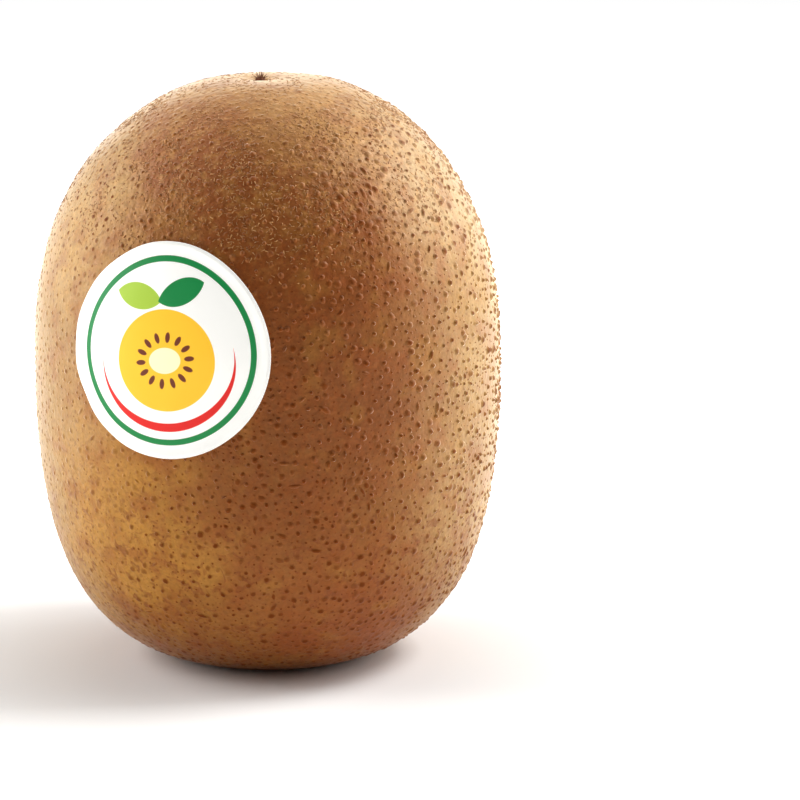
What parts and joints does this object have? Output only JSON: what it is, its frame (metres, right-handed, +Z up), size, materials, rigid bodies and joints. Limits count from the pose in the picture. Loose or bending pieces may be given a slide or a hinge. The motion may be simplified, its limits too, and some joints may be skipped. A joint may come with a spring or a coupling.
{
  "type": "golden kiwi fruit",
  "caption": "Whole golden kiwi fruit standing on its stem end, with dried style stubs in the crown, a woody stem scar with sepals in the base and a round paper label.",
  "frame": {"origin": "middle of the flat ring that the fruit stands on, on its own axis", "axes": "+Z up the fruit's own axis, from its stem end to its blossom end; -Y to the front, where the label is; +X to the right"},
  "size_m": [0.0558, 0.0535, 0.0706],
  "materials": {
    "skin": "satin golden-brown skin with fine dark raised dots",
    "dried_styles": "dry, dark brown",
    "dried_stem": "dry, fibrous, grey-brown",
    "label": "smooth printed film, satin"
  },
  "bodies": {
    "root": {"fruit_body": "skin", "style_stubs": "dried_styles", "stem_scar": "dried_stem", "paper_label": "label"}
  },
  "joints": []
}
